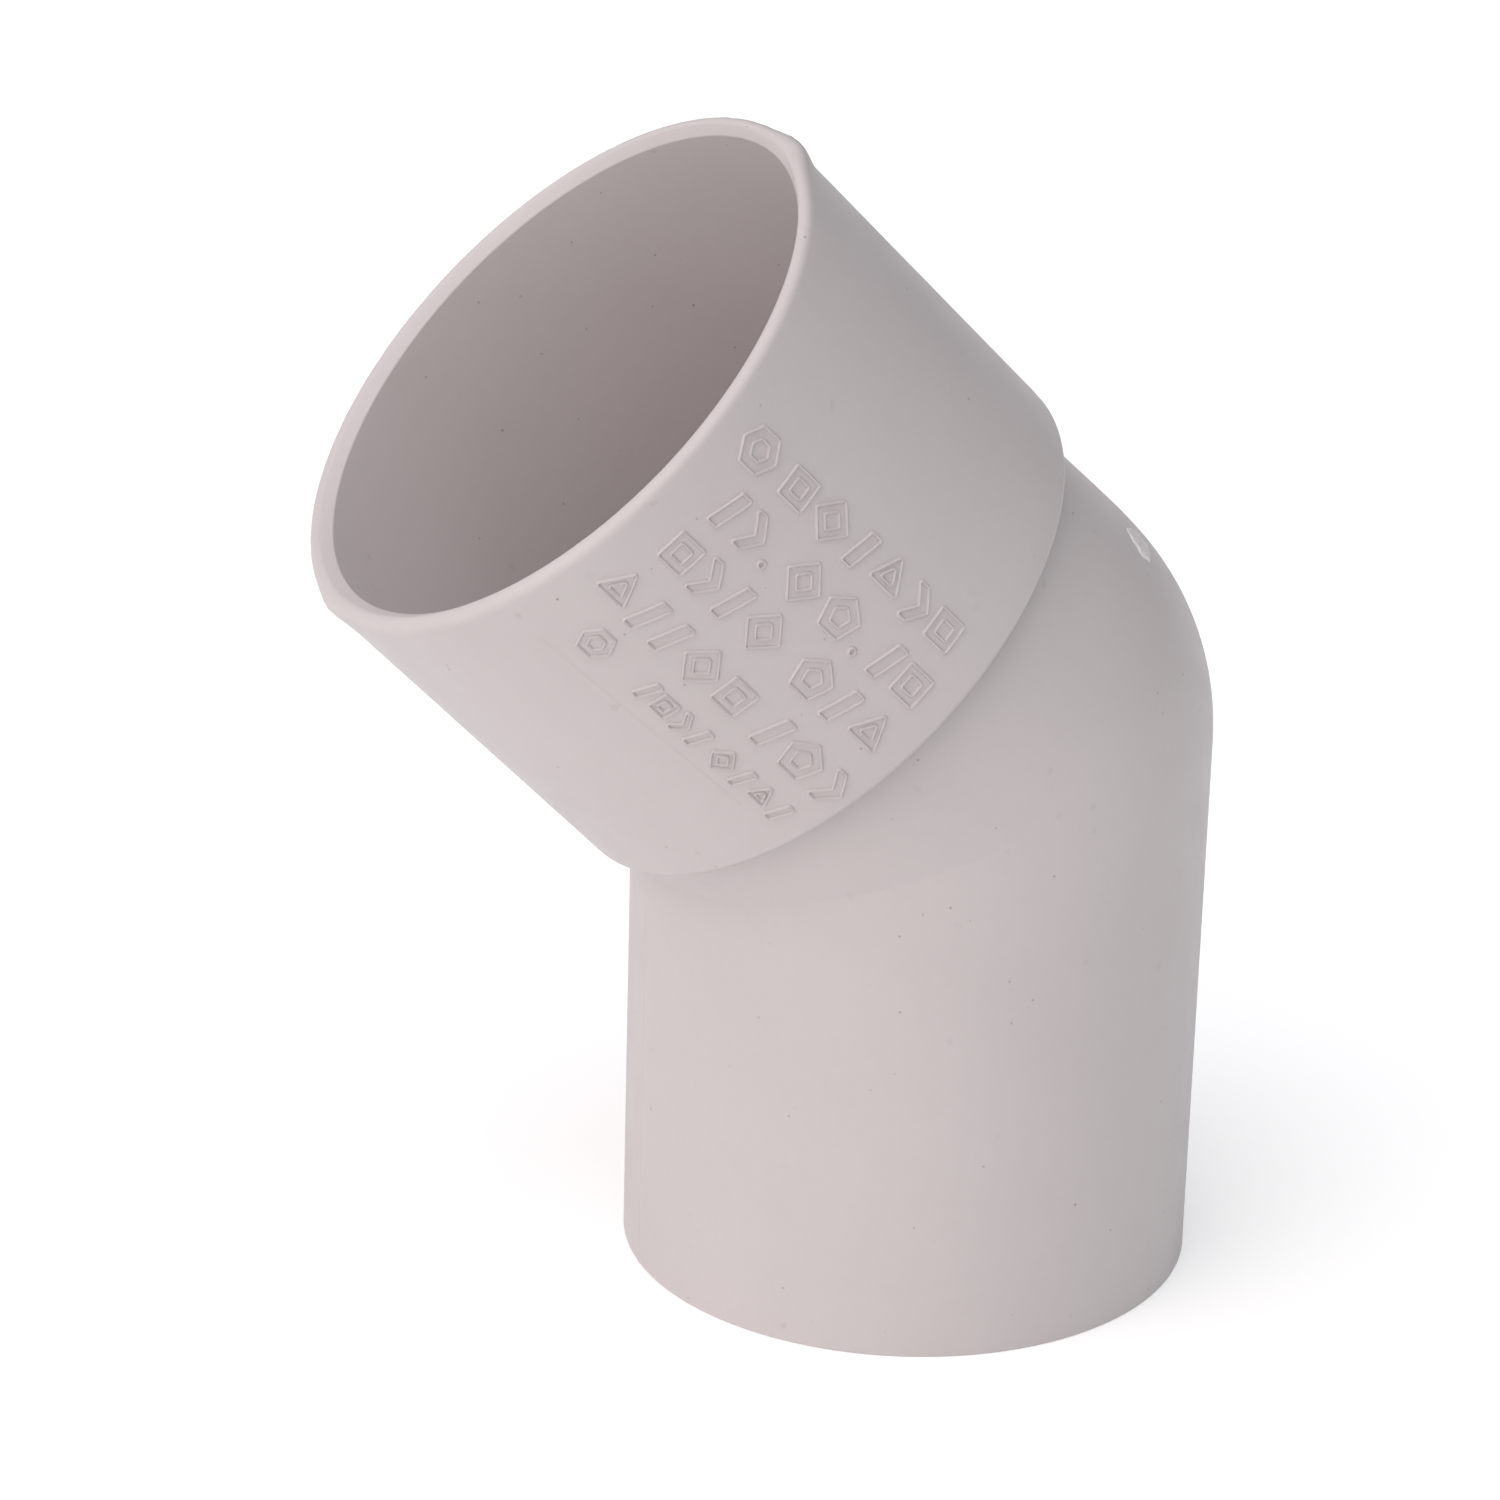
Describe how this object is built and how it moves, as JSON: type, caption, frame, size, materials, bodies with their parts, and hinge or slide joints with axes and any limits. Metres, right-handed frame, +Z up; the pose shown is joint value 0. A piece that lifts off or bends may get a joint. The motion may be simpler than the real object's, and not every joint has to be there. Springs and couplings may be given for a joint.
{
  "type": "pipe bend fitting",
  "caption": "Drain pipe bend of just under 45 degrees, with a plain spigot at one end and a solvent-cement socket at the other.",
  "frame": {"origin": "under the middle of the bounding box, in the plane of the spigot's end", "axes": "+Z up along the spigot's axis, towards the bend; the socket leans towards -X; +Y is normal to the plane of symmetry that both axes lie in"},
  "size_m": [0.0679, 0.0468, 0.089],
  "materials": {
    "spigot_upvc": "satin, as moulded",
    "bend_body_upvc": "satin, as moulded",
    "socket_shoulder_upvc": "satin, as moulded",
    "socket_barrel_upvc": "satin, as moulded",
    "socket_rim_upvc": "satin, as moulded"
  },
  "bodies": {
    "root": {"spigot": "spigot_upvc", "bend_body": "bend_body_upvc", "socket_shoulder": "socket_shoulder_upvc", "socket_barrel": "socket_barrel_upvc", "socket_rim": "socket_rim_upvc"}
  },
  "joints": []
}
